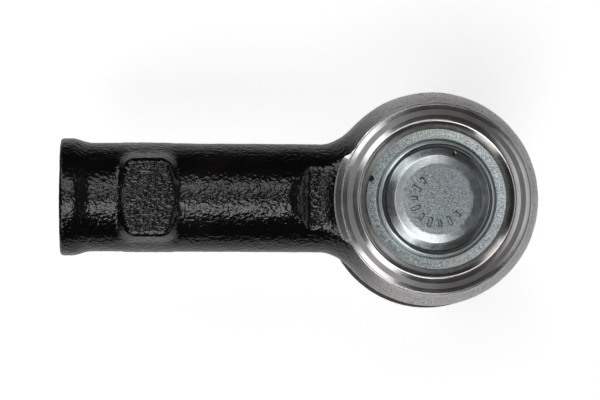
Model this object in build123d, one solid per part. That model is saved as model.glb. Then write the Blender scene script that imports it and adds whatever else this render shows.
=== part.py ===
from build123d import *
from math import cos, radians, sin, tan
import os

# Tie rod end: a ball joint with an internally threaded shank. Millimetres.
# The origin is the centre of the ball. The shank lies along -X, the cover cap faces +Z
# and the stud points along -Z.

# ball, stud and its taper
BALL_R = 11.0
BALL_TOP_Z = 8.6
NECK_R = 5.3
NECK_END_Z = -18.0
TAPER_TOP_Z = -21.0
TAPER_TOP_R = 7.1
TAPER_END_Z = -39.0
TAPER_RATIO = 1 / 10
STUD_THREAD_R = 6.0
STUD_END_Z = -56.0
COTTER_HOLE_R = 1.7
COTTER_Z = -51.3

# seats that hold the ball
BALL_CLEARANCE = 0.06
SEAT_R = 13.25
SEAT_SPLIT = 0.15
SEAT_TOP_Z = 8.7
SEAT_TOP_OPENING_R = 7.5
SEAT_MOUTH_Z = -5.3
SEAT_MOUTH_OUTER_Z = -7.6

# housing eye
EYE_R = 21.15
EYE_BOTTOM_Z = -9.5
EYE_FOOT_R = 18.3
SOCKET_R = 13.3
SOCKET_MOUTH_Z = -8.0
COLLAR_R = 15.6
COLLAR_END_Z = -13.4
COLLAR_MOUTH_R = 14.4
BOOT_GROOVE_R = 14.9
BOOT_GROOVE_Z = (-12.4, -10.4)

# turned face of the eye and the lip that is rolled over the cap
RIM_R = 18.7
RIM_Z = 9.6
FACE_END_R = 20.0
LIP_TOP_R = 15.25
LIP_TOP_Z = 11.5
LIP_INNER_R = 13.65
CAP_POCKET_R = 15.0

# cover cap
CAP_R = 14.9
CAP_Z = 8.8
CAP_FLANGE = 1.4
CAP_STEP_R = (11.7, 10.9)
CAP_LAND_Z = 11.6
CAP_LAND_R = 9.3
CAP_DISC_R = 5.8
CAP_DISC_Z = 13.2
CAP_WALL = 1.2
CAP_INNER_R = 10.7
PIP_COUNT = 9
PIP_RING_R = 4.7
PIP_R = 0.35
PIP_PITCH = 24
PIP_START = 130

# shank, its end bead and the wrench pads
SHANK_R = 10.7
SHANK_END_X = -73.3
BEAD_R = 11.5
BEAD_LENGTH = 2.4
BEAD_EASE = 3.7
BEAD_EDGE = 0.6
PAD_X = -56.1
PAD_SIZE = (12.2, 18.6)
PAD_CORNER = 2.6
PAD_BASE_Z = 5.0
ACROSS_PADS = 22.0
PAD_DRAFT = 15
PAD_EDGE = 0.9

# threaded bore of the shank: tapping size of M14 x 1.5
BORE_R = 6.19
BORE_END_X = -34.0
BORE_CHAMFER_R = 7.2
DRILL_TIP_ANGLE = 59

# neck between the shank and the eye: place along X, half width, half height, corner radius
NECK_SECTIONS = (
    (-29.0, 10.7, 10.7, 10.5),
    (-22.5, 10.75, 10.5, 10.0),
    (-18.0, 11.9, 9.9, 8.0),
    (-14.0, 15.2, 9.3, 6.0),
)
# flat webs pressed into the top and underside of the neck: outline in the XZ plane
WEB_Z = 8.85
WEB_SLOPE = ((-28.2, 10.72), (-25.9, 9.66), (-24.9, WEB_Z))
WEB_END_X = -10.0

# rubber boot and its rings
BOOT_SHIFT = (0.3, -1.45)
BOOT_WALL = 1.5
BOOT_NECK_R = 8.9
BOOT_NECK_Z = (-25.3, -20.6)
BOOT_TOP_R = 16.0
BOOT_TOP_Z = -9.8
BOOT_BULGE_R = 20.7
BOOT_BULGE_Z = -13.2
WIRE_R = 0.6
HOUSING_RING_Z = -10.7
NECK_RING_Z = -22.9
INSERT_R = (7.3, 8.8)
INSERT_THICK = 0.8

# preload spring
SPRING_R = (7.7, 10.5)
SPRING_THICK = 0.8

# castle nut and cotter pin
NUT_FLATS = 19.0
NUT_TOP_Z = -40.0
NUT_HEX = 9.0
NUT_CROWN = 5.0
NUT_CROWN_R = 8.5
NUT_BORE_R = 6.05
NUT_SLOT = 3.6
NUT_SLOT_DEPTH = 4.6
COTTER_R = 1.4
COTTER_LEG_R = 0.85
COTTER_EYE = (2.0, 1.0)


def at(r, z):
    """A point of a turned outline, in the XZ plane."""
    return (r, 0, z)


def turned(*edges):
    """The solid that a closed outline sweeps about the Z axis."""
    return revolve(make_face(edges), axis=Axis.Z)


def turned_polygon(*points):
    return turned(Polyline(*[at(r, z) for r, z in points], close=True))


def sphere_r(radius, z):
    """Radius of a sphere's section at height z."""
    return (radius**2 - z**2) ** 0.5


def eye_blank():
    """The round eye with its lower collar, before machining."""
    low, high = BOOT_GROOVE_Z
    collar = Polyline(
        at(0, COLLAR_END_Z),
        at(COLLAR_R, COLLAR_END_Z),
        at(COLLAR_R, low),
        at(BOOT_GROOVE_R, low),
        at(BOOT_GROOVE_R, high),
        at(COLLAR_R, high),
        at(COLLAR_R, EYE_BOTTOM_Z),
        at(EYE_FOOT_R, EYE_BOTTOM_Z),
    )
    lower_side = TangentArc(at(EYE_R, 0), at(EYE_FOOT_R, EYE_BOTTOM_Z), tangent=(0, 0, -1))
    upper_side = TangentArc(at(EYE_R, 0), at(RIM_R, RIM_Z), tangent=(0, 0, 1))
    top = Polyline(at(RIM_R, RIM_Z), at(LIP_TOP_R, LIP_TOP_Z), at(0, LIP_TOP_Z), at(0, COLLAR_END_Z))
    return turned(collar, lower_side, upper_side, top)


def neck():
    """Smooth web that widens from the round shank into the eye."""
    sections = []
    for x, half_width, half_height, corner in NECK_SECTIONS:
        place = Plane(origin=(x, 0, 0), x_dir=(0, 1, 0), z_dir=(1, 0, 0))
        sections.append(place * RectangleRounded(2 * half_width, 2 * half_height, corner))
    return loft(sections)


def shank():
    """Round shank with a raised bead at its open end."""
    neck_x = NECK_SECTIONS[0][0]
    bead_x = SHANK_END_X + BEAD_LENGTH
    outline = Polyline(
        (neck_x, 0),
        (neck_x, SHANK_R),
        (bead_x + BEAD_EASE, SHANK_R),
        (bead_x, BEAD_R),
        (SHANK_END_X + BEAD_EDGE, BEAD_R),
        (SHANK_END_X, BEAD_R - BEAD_EDGE),
        (SHANK_END_X, 0),
        close=True,
    )
    return revolve(make_face(outline), axis=Axis.X)


def wrench_pad():
    """Raised drafted pad on the shank that a wrench holds."""
    base = Plane(origin=(PAD_X, 0, PAD_BASE_Z)) * RectangleRounded(*PAD_SIZE, PAD_CORNER)
    pad = extrude(base, amount=ACROSS_PADS / 2 - PAD_BASE_Z, taper=PAD_DRAFT)
    return fillet(pad.faces().sort_by(Axis.Z)[-1].edges(), PAD_EDGE)


def web_relief():
    """Space above the flat web of the neck, with the slope that leads down to it."""
    top_z = SHANK_R + 2
    outline = Polyline(
        (WEB_SLOPE[0][0] - 1, 0, top_z),
        *[(x, 0, z) for x, z in WEB_SLOPE],
        (WEB_END_X, 0, WEB_Z),
        (WEB_END_X, 0, top_z),
        close=True,
    )
    return extrude(make_face(outline), amount=EYE_R, both=True)


def turned_face():
    """Space above the sloping face around the lip, which also cuts into the neck."""
    fall = (LIP_TOP_Z - RIM_Z) / (RIM_R - LIP_TOP_R)
    top_z = LIP_TOP_Z + 1
    return turned_polygon(
        (LIP_TOP_R, LIP_TOP_Z),
        (FACE_END_R, RIM_Z - fall * (FACE_END_R - RIM_R)),
        (FACE_END_R, top_z),
        (LIP_TOP_R, top_z),
    )


def cap_pocket():
    """Space for the flange of the cap, under the rolled lip, and the slope above it."""
    seat_z = CAP_Z + CAP_FLANGE
    top_z = LIP_TOP_Z + 1
    lean = (LIP_TOP_R - LIP_INNER_R) / (LIP_TOP_Z - seat_z)
    return turned_polygon(
        (0, top_z),
        (LIP_TOP_R + lean, top_z),
        (LIP_INNER_R, seat_z),
        (CAP_POCKET_R, seat_z),
        (CAP_POCKET_R, CAP_Z),
        (0, CAP_Z),
    )


def socket_cavity():
    """Bore for the seats, closed by a sphere below and opened by the flared mouth."""
    mouth_r = sphere_r(SOCKET_R, SOCKET_MOUTH_Z)
    top_z = CAP_Z + 1
    down = Polyline(at(0, top_z), at(SOCKET_R, top_z), at(SOCKET_R, 0))
    floor = ThreePointArc(at(SOCKET_R, 0), at(sphere_r(SOCKET_R, -4.5), -4.5), at(mouth_r, SOCKET_MOUTH_Z))
    mouth = Polyline(
        at(mouth_r, SOCKET_MOUTH_Z),
        at(COLLAR_MOUTH_R, COLLAR_END_Z),
        at(COLLAR_MOUTH_R, COLLAR_END_Z - 1),
        at(0, COLLAR_END_Z - 1),
        at(0, top_z),
    )
    return turned(down, floor, mouth)


def shank_bore():
    """Tapped hole, drilled blind from the open end of the shank."""
    tip = BORE_R / tan(radians(DRILL_TIP_ANGLE))
    outline = Polyline(
        (SHANK_END_X - 1, 0),
        (SHANK_END_X - 1, BORE_CHAMFER_R + 1),
        (SHANK_END_X, BORE_CHAMFER_R),
        (SHANK_END_X + BORE_CHAMFER_R - BORE_R, BORE_R),
        (BORE_END_X, BORE_R),
        (BORE_END_X + tip, 0),
        close=True,
    )
    return revolve(make_face(outline), axis=Axis.X)


def housing():
    pad = wrench_pad()
    web = web_relief()
    bar = neck() + shank() + pad + mirror(pad, about=Plane.XY) - web - mirror(web, about=Plane.XY)
    forging = eye_blank() + bar
    return forging - turned_face() - cap_pocket() - socket_cavity() - shank_bore()


def cover_cap():
    """Pressed cover: flange, step, land and a domed centre with plain raised pips."""
    flange_z = CAP_Z + CAP_FLANGE
    top = Polyline(
        at(CAP_R, CAP_Z),
        at(CAP_R, flange_z),
        at(CAP_STEP_R[0], flange_z),
        at(CAP_STEP_R[1], CAP_LAND_Z),
        at(CAP_LAND_R, CAP_LAND_Z),
    )
    shoulder = ThreePointArc(at(CAP_LAND_R, CAP_LAND_Z), at(8.0, 12.75), at(CAP_DISC_R, CAP_DISC_Z))
    under = Polyline(
        at(CAP_DISC_R, CAP_DISC_Z),
        at(0, CAP_DISC_Z),
        at(0, CAP_DISC_Z - CAP_WALL),
        at(CAP_DISC_R - 0.3, CAP_DISC_Z - CAP_WALL),
        at(CAP_LAND_R - CAP_WALL, CAP_LAND_Z - CAP_WALL),
        at(CAP_INNER_R, CAP_LAND_Z - CAP_WALL),
        at(CAP_INNER_R, CAP_Z),
        at(CAP_R, CAP_Z),
    )
    cap = turned(top, shoulder, under)
    for i in range(PIP_COUNT):
        turn = radians(PIP_START + i * PIP_PITCH)
        centre = (PIP_RING_R * cos(turn), PIP_RING_R * sin(turn), CAP_DISC_Z)
        cap += Pos(*centre) * Cylinder(PIP_R, 0.4)
    return cap


def upper_seat():
    """Upper half of the plastic bearing around the ball."""
    inner = BALL_R + BALL_CLEARANCE
    opening_z = sphere_r(inner, SEAT_TOP_OPENING_R)
    cup = ThreePointArc(
        at(sphere_r(inner, SEAT_SPLIT), SEAT_SPLIT),
        at(sphere_r(inner, 5.0), 5.0),
        at(SEAT_TOP_OPENING_R, opening_z),
    )
    body = Polyline(
        at(SEAT_TOP_OPENING_R, opening_z),
        at(SEAT_TOP_OPENING_R, SEAT_TOP_Z),
        at(SEAT_R, SEAT_TOP_Z),
        at(SEAT_R, SEAT_SPLIT),
        at(sphere_r(inner, SEAT_SPLIT), SEAT_SPLIT),
    )
    return turned(cup, body)


def lower_seat():
    """Lower half of the plastic bearing, open below for the swing of the stud."""
    inner = BALL_R + BALL_CLEARANCE
    cup = ThreePointArc(
        at(sphere_r(inner, SEAT_SPLIT), -SEAT_SPLIT),
        at(sphere_r(inner, 3.0), -3.0),
        at(sphere_r(inner, SEAT_MOUTH_Z), SEAT_MOUTH_Z),
    )
    mouth = Line(
        at(sphere_r(inner, SEAT_MOUTH_Z), SEAT_MOUTH_Z),
        at(sphere_r(SEAT_R, SEAT_MOUTH_OUTER_Z), SEAT_MOUTH_OUTER_Z),
    )
    back = ThreePointArc(
        at(sphere_r(SEAT_R, SEAT_MOUTH_OUTER_Z), SEAT_MOUTH_OUTER_Z),
        at(sphere_r(SEAT_R, 4.0), -4.0),
        at(sphere_r(SEAT_R, SEAT_SPLIT), -SEAT_SPLIT),
    )
    split = Line(
        at(sphere_r(SEAT_R, SEAT_SPLIT), -SEAT_SPLIT),
        at(sphere_r(inner, SEAT_SPLIT), -SEAT_SPLIT),
    )
    return turned(cup, mouth, back, split)


def preload_spring():
    """Disc spring: its inner edge bears on the upper seat, its outer edge on the cap."""
    inner, outer = SPRING_R
    cap_z = CAP_LAND_Z - CAP_WALL
    return turned_polygon(
        (inner, SEAT_TOP_Z),
        (outer, cap_z - SPRING_THICK),
        (outer, cap_z),
        (inner, SEAT_TOP_Z + SPRING_THICK),
    )


def ball_stud():
    """Ball, neck, taper and thread in one piece, with a cross hole for the cotter pin."""
    taper_end_r = TAPER_TOP_R - (TAPER_TOP_Z - TAPER_END_Z) * TAPER_RATIO / 2
    ball_foot_z = -sphere_r(BALL_R, NECK_R)
    thread_start_z = TAPER_END_Z - 0.8
    ball = ThreePointArc(
        at(sphere_r(BALL_R, BALL_TOP_Z), BALL_TOP_Z), at(BALL_R, 0), at(NECK_R, ball_foot_z)
    )
    pin = Polyline(
        at(NECK_R, ball_foot_z),
        at(NECK_R, NECK_END_Z),
        at(TAPER_TOP_R, TAPER_TOP_Z),
        at(taper_end_r, TAPER_END_Z),
        at(STUD_THREAD_R - 0.7, thread_start_z),
        at(STUD_THREAD_R - 0.7, thread_start_z - 0.8),
        at(STUD_THREAD_R, thread_start_z - 1.5),
        at(STUD_THREAD_R, STUD_END_Z + 1),
        at(STUD_THREAD_R - 1, STUD_END_Z),
        at(0, STUD_END_Z),
        at(0, BALL_TOP_Z),
        at(sphere_r(BALL_R, BALL_TOP_Z), BALL_TOP_Z),
    )
    hole = Pos(0, 0, COTTER_Z) * Rot(90, 0, 0) * Cylinder(COTTER_HOLE_R, 20)
    return turned(ball, pin) - hole


def boot_bead():
    """Top of the boot, held in the groove of the collar."""
    low, high = BOOT_GROOVE_Z
    return turned_polygon(
        (BOOT_GROOVE_R + 0.1, high - 0.1),
        (COLLAR_R + 0.1, BOOT_TOP_Z),
        (BOOT_TOP_R, BOOT_TOP_Z),
        (BOOT_TOP_R, low + 0.2),
        (BOOT_TOP_R + 1, low - 1),
        (COLLAR_R + 0.1, low - 1),
        (COLLAR_R + 0.1, low + 0.1),
        (BOOT_GROOVE_R + 0.1, low + 0.1),
    )


def boot_bulge():
    """Folded middle of the boot, which hangs a little to one side."""
    lip_r = 6.5
    top_z = BOOT_GROOVE_Z[0] + 1.0
    foot_z = BOOT_NECK_Z[1] - 0.5
    shell = turned(
        Polyline(at(lip_r + 8, top_z - BOOT_WALL), at(lip_r + 8, top_z), at(18.2, top_z)),
        ThreePointArc(at(18.2, top_z), at(20.2, top_z - 0.7), at(BOOT_BULGE_R, BOOT_BULGE_Z)),
        ThreePointArc(at(BOOT_BULGE_R, BOOT_BULGE_Z), at(16.8, -18.2), at(lip_r, foot_z)),
        Line(at(lip_r, foot_z), at(lip_r, foot_z + BOOT_WALL)),
        ThreePointArc(
            at(lip_r, foot_z + BOOT_WALL),
            at(15.9, -17.0),
            at(BOOT_BULGE_R - BOOT_WALL, BOOT_BULGE_Z),
        ),
        Line(
            at(BOOT_BULGE_R - BOOT_WALL, BOOT_BULGE_Z),
            at(BOOT_BULGE_R - BOOT_WALL - 0.6, top_z - BOOT_WALL),
        ),
        Line(at(BOOT_BULGE_R - BOOT_WALL - 0.6, top_z - BOOT_WALL), at(lip_r + 8, top_z - BOOT_WALL)),
    )
    return Pos(*BOOT_SHIFT, 0) * shell


def boot_neck():
    """Small end of the boot, which grips the stud above its taper."""
    low, high = BOOT_NECK_Z
    return turned_polygon(
        (BOOT_NECK_R - 1.8, high + 0.6),
        (BOOT_NECK_R + 0.5, high + 0.2),
        (BOOT_NECK_R, high - 1.2),
        (BOOT_NECK_R, low),
        (BOOT_NECK_R - 1.8, low),
    )


def dust_boot():
    """Rubber boot, kept clear of the collar above and of the stud below."""
    top = BOOT_TOP_Z + 1
    low, high = BOOT_GROOVE_Z
    collar = turned_polygon(
        (0, COLLAR_END_Z - 0.1),
        (COLLAR_R + 0.1, COLLAR_END_Z - 0.1),
        (COLLAR_R + 0.1, low + 0.1),
        (BOOT_GROOVE_R + 0.1, low + 0.1),
        (BOOT_GROOVE_R + 0.1, high - 0.1),
        (COLLAR_R + 0.1, high - 0.1),
        (COLLAR_R + 0.1, top),
        (0, top),
    )
    stud = turned_polygon(
        (0, COLLAR_END_Z),
        (NECK_R + 1.5, COLLAR_END_Z),
        (TAPER_TOP_R + 0.1, TAPER_TOP_Z + 1.5),
        (TAPER_TOP_R + 0.1, STUD_END_Z),
        (0, STUD_END_Z),
    )
    return boot_bead() + boot_bulge() + boot_neck() - collar - stud


def wire_ring(inner_r, z):
    """Round wire ring that holds the boot."""
    return Pos(0, 0, z) * Torus(inner_r + WIRE_R, WIRE_R)


def boot_lip_insert():
    """Flat steel ring that backs the sealing face of the small end."""
    top = BOOT_NECK_Z[0]
    inner, outer = INSERT_R
    return turned_polygon((inner, top), (outer, top), (outer, top - INSERT_THICK), (inner, top - INSERT_THICK))


def castle_nut():
    """Slotted hexagon nut with a round crown, on the thread of the stud."""
    hex_low = NUT_TOP_Z - NUT_HEX
    crown_low = hex_low - NUT_CROWN
    hexagon = RegularPolygon(NUT_FLATS / 2, 6, major_radius=False)
    blank = Pos(0, 0, hex_low) * extrude(hexagon, NUT_HEX)
    corner_r = NUT_FLATS / 2 + 1.5
    blank = blank & turned_polygon(
        (0, hex_low), (corner_r, hex_low), (corner_r, NUT_TOP_Z - 1.0), (corner_r - 1.7, NUT_TOP_Z), (0, NUT_TOP_Z)
    )
    blank += Pos(0, 0, (hex_low + crown_low) / 2) * Cylinder(NUT_CROWN_R, NUT_CROWN)
    blank -= Pos(0, 0, (NUT_TOP_Z + crown_low) / 2) * Cylinder(NUT_BORE_R, NUT_HEX + NUT_CROWN + 2)
    for i in range(3):
        slot_z = crown_low + NUT_SLOT_DEPTH / 2 - 0.5
        blank -= Rot(0, 0, 60 * i) * Pos(0, 0, slot_z) * Box(NUT_SLOT, 30, NUT_SLOT_DEPTH + 1)
    return blank


def cotter_leg(*points):
    """One bent leg of the pin, as round wire along a filleted path."""
    path = FilletPolyline(*points, radius=1.2)
    return sweep(Plane(origin=path @ 0, z_dir=path % 0) * Circle(COTTER_LEG_R), path)


def cotter_pin():
    """Split pin through the crown: eye on one side, legs bent over on the other."""
    bend_y = -(NUT_FLATS / 2 + COTTER_LEG_R + 0.2)
    shaft_start = bend_y + 2.2
    eye_y = NUT_CROWN_R + sum(COTTER_EYE) + 0.1
    shaft_end = eye_y - COTTER_EYE[0]
    pin = Pos(0, (shaft_start + shaft_end) / 2, COTTER_Z) * Rot(90, 0, 0) * Cylinder(
        COTTER_R, shaft_end - shaft_start
    )
    pin += Pos(0, eye_y, COTTER_Z) * Rot(0, 90, 0) * Torus(*COTTER_EYE)
    upper = COTTER_Z + COTTER_R - COTTER_LEG_R
    lower = COTTER_Z - COTTER_R + COTTER_LEG_R
    under_stud = STUD_END_Z - COTTER_LEG_R - 0.1
    pin += cotter_leg((0, shaft_start + 0.5, upper), (0, bend_y, upper), (0, bend_y, upper + 7))
    pin += cotter_leg(
        (0, shaft_start + 0.5, lower), (0, bend_y, lower), (0, bend_y + 0.4, under_stud), (0, -3.0, under_stud)
    )
    return pin


nodes = {
    "housing": housing(),
    "cover_cap": cover_cap(),
    "preload_spring": preload_spring(),
    "upper_seat": upper_seat(),
    "lower_seat": lower_seat(),
    "ball_stud": ball_stud(),
    "dust_boot": dust_boot(),
    "boot_housing_ring": wire_ring(BOOT_TOP_R, HOUSING_RING_Z),
    "boot_neck_ring": wire_ring(BOOT_NECK_R, NECK_RING_Z),
    "boot_lip_insert": boot_lip_insert(),
    "castle_nut": castle_nut(),
    "cotter_pin": cotter_pin(),
}

os.makedirs("parts", exist_ok=True)
for name, shape in nodes.items():
    shape.label = name
    export_step(shape, f"parts/{name}.step")
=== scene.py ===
import math

import bmesh
import bpy
import numpy as np
from mathutils import Matrix, Vector, noise

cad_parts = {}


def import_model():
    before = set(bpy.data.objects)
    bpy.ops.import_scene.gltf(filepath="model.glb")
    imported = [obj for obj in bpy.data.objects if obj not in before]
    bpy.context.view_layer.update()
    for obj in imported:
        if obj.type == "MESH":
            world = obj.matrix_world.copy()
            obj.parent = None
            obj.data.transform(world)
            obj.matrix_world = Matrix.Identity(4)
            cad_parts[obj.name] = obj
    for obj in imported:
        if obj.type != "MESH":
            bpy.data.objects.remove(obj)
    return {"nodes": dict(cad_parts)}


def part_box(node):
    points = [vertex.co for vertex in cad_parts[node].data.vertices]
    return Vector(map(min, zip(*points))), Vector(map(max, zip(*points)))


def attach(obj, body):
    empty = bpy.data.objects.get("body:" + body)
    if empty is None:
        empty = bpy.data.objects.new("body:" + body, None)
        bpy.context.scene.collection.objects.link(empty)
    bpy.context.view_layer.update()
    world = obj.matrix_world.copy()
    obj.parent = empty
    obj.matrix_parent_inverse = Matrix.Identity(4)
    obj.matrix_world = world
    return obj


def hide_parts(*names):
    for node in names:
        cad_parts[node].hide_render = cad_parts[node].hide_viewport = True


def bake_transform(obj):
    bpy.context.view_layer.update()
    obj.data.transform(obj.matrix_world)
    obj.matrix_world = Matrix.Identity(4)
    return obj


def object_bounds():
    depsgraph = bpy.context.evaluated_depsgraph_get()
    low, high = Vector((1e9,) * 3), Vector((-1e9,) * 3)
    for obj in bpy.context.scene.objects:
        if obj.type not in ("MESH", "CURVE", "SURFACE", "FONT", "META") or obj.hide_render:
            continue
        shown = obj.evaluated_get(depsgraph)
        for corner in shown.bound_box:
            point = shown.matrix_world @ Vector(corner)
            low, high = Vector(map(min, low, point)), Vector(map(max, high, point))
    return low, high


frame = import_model()
CAD_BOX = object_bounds()

# Lengths are in millimetres here and become metres in a mesh or a material.
MM = 0.001
HOUSING_LOW, HOUSING_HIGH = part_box("housing")

# forging
EYE_R = HOUSING_HIGH.y / MM
EYE_BOTTOM_Z = -9.5
EYE_FOOT_R = 18.3
SHANK_END_X = HOUSING_LOW.x / MM
SHANK_START_X = -8.0
SHANK_R = 10.7
BEAD_RISE = 0.85
BEAD_X = (SHANK_END_X + 2.2, SHANK_END_X + 6.2)
NECK_BLEND = 3.4
WEB_Z = 8.85
WEB_SLOPES = ((-28.2, 10.7, 24.4), (-25.9, 9.66, 50.0))
PAD_X = -56.1
PAD_HALF = (5.75, 7.5)
PAD_TOP_Z = 11.0
PAD_CORNER = (1.1, 2.3)
PAD_SLOPE = (0.68, 0.286)
SKIN_HEIGHT = 0.05
SPARE_METAL = 0.8
NET_STEP = 0.34

# machined faces, as (r, z) where there are two numbers
RIM_R = 18.7
RIM_Z = 9.42
FACE_END = (20.0, 8.74)
FACE_BAND = ((16.35, 10.42), (17.6, 9.82))
FACE_LINE = ((18.38, 9.47), (18.6, 9.47))
LIP_TOP = (15.3, 10.9)
LIP_INNER_R = 13.65
POCKET_R = 15.0
SOCKET_R = 13.3
MOUTH_Z = -8.0
MOUTH_END_R = 14.4
COLLAR_R = 15.6
COLLAR_END_Z = HOUSING_LOW.z / MM
COLLAR_GROOVE = (-12.4, -10.4)
COLLAR_GROOVE_R = 14.9
BORE_MINOR_R = 6.19
BORE_MAJOR_R = 7.0
BORE_PITCH = 1.5
BORE_CHAMFER_R = 7.3
BORE_END_X = -34.0
DRILL_TIP_ANGLE = 59

# cover cap; its fades are pairs of radii that a change of finish lies between, or on the step a painted
# highlight
CAP_R = 14.9
CAP_Z = 8.8
CAP_FLANGE_Z = 9.6
CAP_DISC_Z = 12.9
CAP_DOME_R = 8.5
CAP_DOME_BEND = 7.2
CAP_DOME_FOOT = (10.15, 12.1)
CAP_STEP_TOP = (11.1, 11.2)
CAP_STEP_FOOT = (11.8, 9.35)
CAP_INNER_R = 10.75
CAP_INNER_Z = 11.7
# The nick is only a dark spot of painted shade, with no dent; the pit is pressed in and darkened with
# painted shade too.
CAP_NOTCH = (-12.85, 3.95)
CAP_NOTCH_R = 0.8
CAP_PIT = (3.0, 8.9)
CAP_PIT_R = 0.45
CAP_PIT_DEPTH = 0.22
DISC_FADE = (5.0, 8.2)
DOME_FADE = (8.6, 9.2)
STEP_HIGHLIGHT_FADES = ((10.7, 10.95), (11.25, 11.45))
FLANGE_FADE = (11.2, 11.9)

# generic raised marks on the cap
MARK_COUNT = 9
MARK_RING_R = 4.7
MARK_ZONE_R = 6.4
MARK_START = 130
MARK_PITCH = 24
MARK_HEIGHT = 0.34
MARK_HALF = (0.34, 0.62)

# stud, nut and pin
BALL_R = 11.0
BALL_TOP_Z = 8.6
STUD_NECK_R = 5.3
STUD_NECK_END_Z = -17.6
TAPER_TOP = (7.1, -21.0)
TAPER_END = (6.2, -39.0)
STUD_THREAD_R = 6.0
STUD_MINOR_R = 5.3
STUD_THREAD_Z = TAPER_END[1] - 1.7
STUD_PITCH = 1.25
STUD_END_Z = -56.0
NUT_FLATS = 19.0
NUT_TOP_Z = -40.0
NUT_TOP_R = 9.2
NUT_TURNED_R = 11.2
NUT_HEX_Z = -49.0
NUT_HEX_END_R = 9.6
NUT_END_Z = -54.0
NUT_CROWN_R = 8.5
NUT_BORE_R = 6.05
NUT_CHAMFER = 0.6
NUT_SLOT = 3.6
SLOT_TOP_Z = -49.4
PIN_Z = -51.3
PIN_HOLE_R = 1.7
PIN_R = 1.25
PIN_GAP = 0.04
PIN_THROAT_Y = 8.3
PIN_EYE_Y = (10.4, 13.4)
PIN_EYE_HALF = 1.8
PIN_LEG_UP = 7.4
PIN_LEG_END_Y = -3.0

# boot and its rings
BOOT_SHIFT = (0.3, -1.45)
BOOT_SHIFT_Z = ((-11.2, -12.8), (-16.5, -20.6))
BOOT_SEAM_Z = -15.6
SEAM_HALF = 0.25
SEAM_RISE = 0.14
BOOT_R = 20.7
BOOT_WALL = 1.5
BOOT_EDGE_Z = -13.2
BOOT_LIP = (15.1, 0.1)
BOOT_NECK_R = 8.9
BOOT_NECK_INNER_R = 7.25
BOOT_END_Z = -25.3
BOOT_RIBS = 260
BOOT_RIB_HEIGHT = 0.07
BOOT_RIB_R = (18.9, 19.6)
BOOT_RIB_Z = ((-11.9, -12.5), (-14.3, -14.9))
RING_WIRE_R = 0.29
RING_TURNS = 2.12
HOUSING_RING = (16.32, -10.7)
NECK_RING = (9.22, -22.9)
INSERT_R = (7.3, 8.8)


# ---------------------------------------------------------------- mesh helpers


def new_piece(name, points_mm, faces, smooth_angle=40):
    """Mesh object from points in millimetres."""
    mesh = bpy.data.meshes.new(name)
    mesh.from_pydata((np.asarray(points_mm, float) * MM).tolist(), [], faces)
    mesh.validate()
    piece = bpy.data.objects.new(name, mesh)
    bpy.context.scene.collection.objects.link(piece)
    soften(piece, smooth_angle)
    return piece


def soften(piece, angle):
    """Smooth shading, with edges sharper than the angle kept crisp."""
    mesh = piece.data
    mesh.polygons.foreach_set("use_smooth", [True] * len(mesh.polygons))
    mesh.set_sharp_from_angle(angle=math.radians(angle))
    mesh.update()


def tidy_mesh(piece, distance=1e-7):
    """Merges doubled points and makes the normals point outwards."""
    edit = bmesh.new()
    edit.from_mesh(piece.data)
    bmesh.ops.remove_doubles(edit, verts=edit.verts, dist=distance)
    bmesh.ops.dissolve_degenerate(edit, edges=edit.edges, dist=distance)
    bmesh.ops.recalc_face_normals(edit, faces=edit.faces)
    edit.to_mesh(piece.data)
    edit.free()


def rounded(points):
    """Outline from (r, z, corner radius) points, with each corner turned into an arc."""
    outline = []
    count = len(points)
    for i, (r, z, radius) in enumerate(points):
        corner = np.array((r, z), float)
        if radius == 0:
            outline.append(corner)
            continue
        before = np.array(points[i - 1][:2], float) - corner
        after = np.array(points[(i + 1) % count][:2], float) - corner
        room_before = np.linalg.norm(before) * radius / (radius + points[i - 1][2])
        room_after = np.linalg.norm(after) * radius / (radius + points[(i + 1) % count][2])
        before /= np.linalg.norm(before)
        after /= np.linalg.norm(after)
        half = math.acos(np.clip(before @ after, -1, 1)) / 2
        reach = min(radius / math.tan(half), room_before, room_after)
        radius = reach * math.tan(half)
        middle = before + after
        centre = corner + middle / np.linalg.norm(middle) * radius / math.sin(half)
        turn = math.pi - 2 * half
        steps = max(2, round(math.degrees(turn) / 12))
        first = corner + before * reach - centre
        last = corner + after * reach - centre
        for k in range(steps + 1):
            share = k / steps
            arm = (math.sin((1 - share) * turn) * first + math.sin(share * turn) * last) / math.sin(turn)
            outline.append(centre + arm)
    return np.array(outline)


def turned(name, outline, steps=256, axis="Z", angle=30):
    """Closed solid of revolution from a closed (r, z) outline."""
    outline = np.asarray(outline, float)
    count = len(outline)
    turns = np.arange(steps) / steps * 2 * math.pi
    r, z = outline[:, 0][:, None], outline[:, 1][:, None]
    ring = np.stack([r * np.cos(turns), r * np.sin(turns), z + 0 * turns], -1)
    points = ring.reshape(-1, 3)
    faces = []
    for i in range(count):
        j = (i + 1) % count
        if outline[i, 0] < 1e-6 and outline[j, 0] < 1e-6:
            continue
        for k in range(steps):
            m = (k + 1) % steps
            faces.append((i * steps + k, i * steps + m, j * steps + m, j * steps + k))
    if axis == "X":
        points = points[:, [2, 0, 1]]
    if axis == "Y":
        points = points[:, [1, 2, 0]]
    piece = new_piece(name, points, faces, angle)
    tidy_mesh(piece)
    soften(piece, angle)
    return piece


def dense(outline, longest, closed=True):
    """Outline with extra points, so that no stretch is longer than asked."""
    outline = np.asarray(outline, float)
    made = []
    nexts = np.roll(outline, -1, axis=0) if closed else outline[1:]
    for start, end in zip(outline, nexts):
        parts = max(1, math.ceil(np.linalg.norm(end - start) / longest))
        made += [start + (end - start) * k / parts for k in range(parts)]
    if not closed:
        made.append(outline[-1])
    return np.array(made)


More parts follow.
